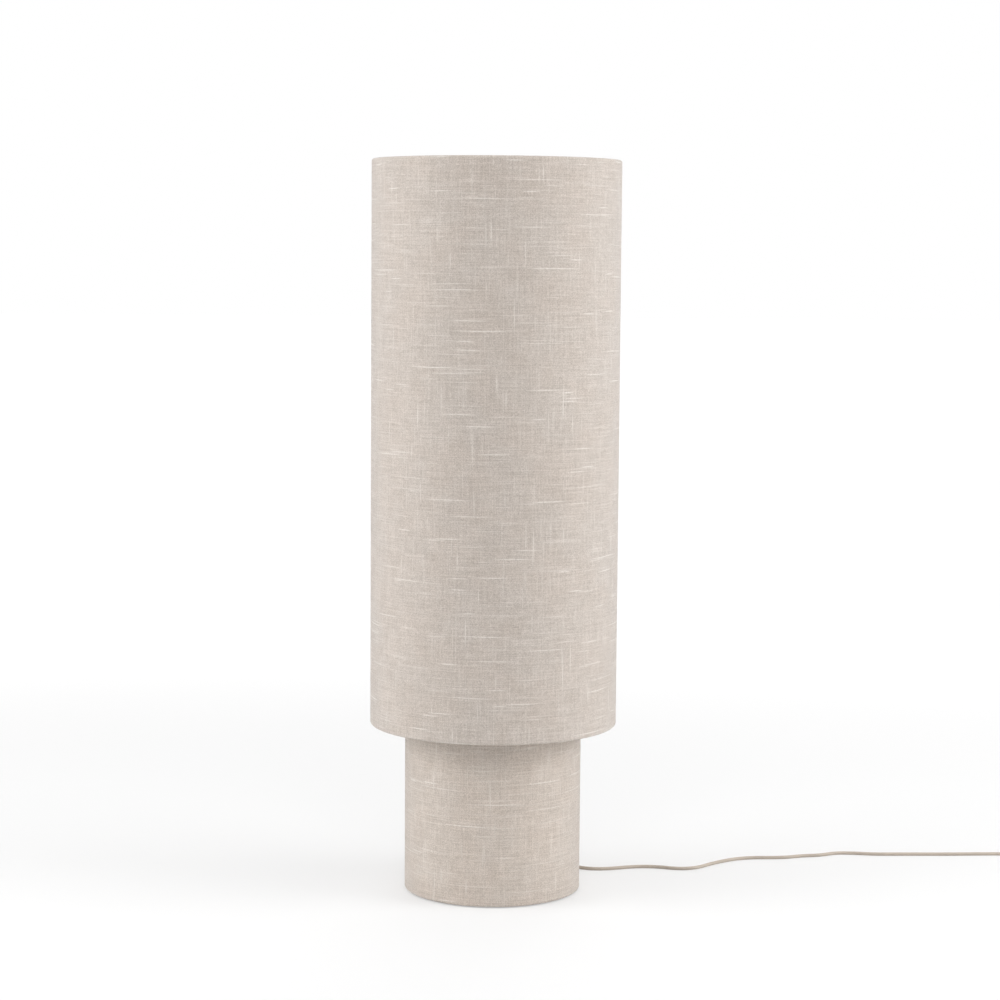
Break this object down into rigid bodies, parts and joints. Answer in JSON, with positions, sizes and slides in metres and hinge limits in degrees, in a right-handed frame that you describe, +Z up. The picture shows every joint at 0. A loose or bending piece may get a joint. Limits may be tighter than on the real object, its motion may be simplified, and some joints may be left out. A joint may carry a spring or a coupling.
{
  "type": "column floor lamp",
  "caption": "Column floor lamp: a tall linen cylinder shade over a narrower linen drum that stands on the floor, with a mains cord, foot switch and plug.",
  "frame": {"origin": "on the floor, on the axis of the column", "axes": "+Z up along the column, +Y towards the back where the cord leaves, +X towards the side that the cord runs to"},
  "size_m": [1.0752, 0.3793, 1],
  "materials": {
    "linen": "natural linen, plain weave with slubs",
    "liner_film": "satin white film",
    "white_wire": "white powder coat",
    "felt": "black felt",
    "base_paint": "black textured powder coat",
    "column_paint": "white satin paint",
    "zinc_steel": "zinc-plated",
    "finial_steel": "brushed nickel",
    "holder_plastic": "off-white moulded",
    "ceramic_insert": "white glazed ceramic",
    "contact_brass": "plain brass",
    "bulb_cap_metal": "nickel-plated",
    "bulb_body_plastic": "white moulded",
    "frosted_dome": "frosted white",
    "lead_sleeve": "white silicone sleeve",
    "block_plastic": "natural white nylon",
    "clip_plastic": "white nylon",
    "cord_pvc": "grey-beige smooth",
    "moulded_pvc": "grey-beige satin",
    "switch_plastic": "grey-beige moulded",
    "button_plastic": "darker grey-beige moulded",
    "pin_nickel": "nickel-plated"
  },
  "bodies": {
    "stand": {"arm_collars": "column_paint", "arm_high": "column_paint", "arm_low": "column_paint", "arm_nuts": "zinc_steel", "base_nut": "zinc_steel", "base_plate": "base_paint", "base_screws": "zinc_steel", "base_washer": "zinc_steel", "cord_clip": "clip_plastic", "cord_coil": "cord_pvc", "cord_ends": "cord_pvc", "cord_inside": "cord_pvc", "cord_middle": "cord_pvc", "cord_near": "cord_pvc", "cord_tail": "cord_pvc", "drum_bottom_ring": "white_wire", "drum_cover": "linen", "drum_liner": "liner_film", "drum_nut": "zinc_steel", "drum_seat": "column_paint", "drum_spider": "white_wire", "foot_collar": "column_paint", "foot_pads": "felt", "gland_nut": "clip_plastic", "grub_screws": "zinc_steel", "holder_cap_high": "holder_plastic", "holder_cap_low": "holder_plastic", "holder_contacts_high": "contact_brass", "holder_contacts_low": "contact_brass", "holder_inserts": "ceramic_insert", "holder_shell_high": "holder_plastic", "holder_shell_low": "holder_plastic", "lead_high": "lead_sleeve", "lead_low": "lead_sleeve", "lower_pole": "column_paint", "plug_body": "moulded_pvc", "plug_boot": "moulded_pvc", "plug_pins": "pin_nickel", "strain_relief": "moulded_pvc", "switch_base": "switch_plastic", "switch_contacts": "block_plastic", "switch_cover": "switch_plastic", "switch_screws": "zinc_steel", "switch_sleeves": "moulded_pvc", "terminal_block": "block_plastic", "threaded_nipples": "zinc_steel", "top_collar": "column_paint", "upper_pole": "column_paint"},
    "shade": {"shade_cover": "linen", "shade_liner": "liner_film", "shade_bottom_ring": "white_wire", "shade_spider": "white_wire"},
    "finial": {"finial": "finial_steel"},
    "bulb_low": {"bulb_cap_low": "bulb_cap_metal", "bulb_body_low": "bulb_body_plastic", "bulb_dome_low": "frosted_dome"},
    "bulb_high": {"bulb_cap_high": "bulb_cap_metal", "bulb_body_high": "bulb_body_plastic", "bulb_dome_high": "frosted_dome"},
    "button": {"foot_button": "button_plastic"}
  },
  "joints": [
    {"name": "shade_lift", "type": "slide", "parent": "stand", "child": "shade", "axis": [0, 0, 1], "range_m": [0, 0.78]},
    {"name": "finial_turn", "type": "hinge", "parent": "shade", "child": "finial", "pos_m": [0, 0, 0.982], "axis": [0, 0, 1], "continuous": true},
    {"name": "bulb_low_turn", "type": "hinge", "parent": "stand", "child": "bulb_low", "pos_m": [0.046, 0, 0.48], "axis": [0, 0, 1], "continuous": true},
    {"name": "bulb_high_turn", "type": "hinge", "parent": "stand", "child": "bulb_high", "pos_m": [-0.046, 0, 0.78], "axis": [0, 0, 1], "continuous": true},
    {"name": "button_press", "type": "slide", "parent": "stand", "child": "button", "axis": [0, 0, -1], "range_m": [0, 0.003], "stiffness_N_per_m": 800, "springref_m": -0.0008}
  ]
}
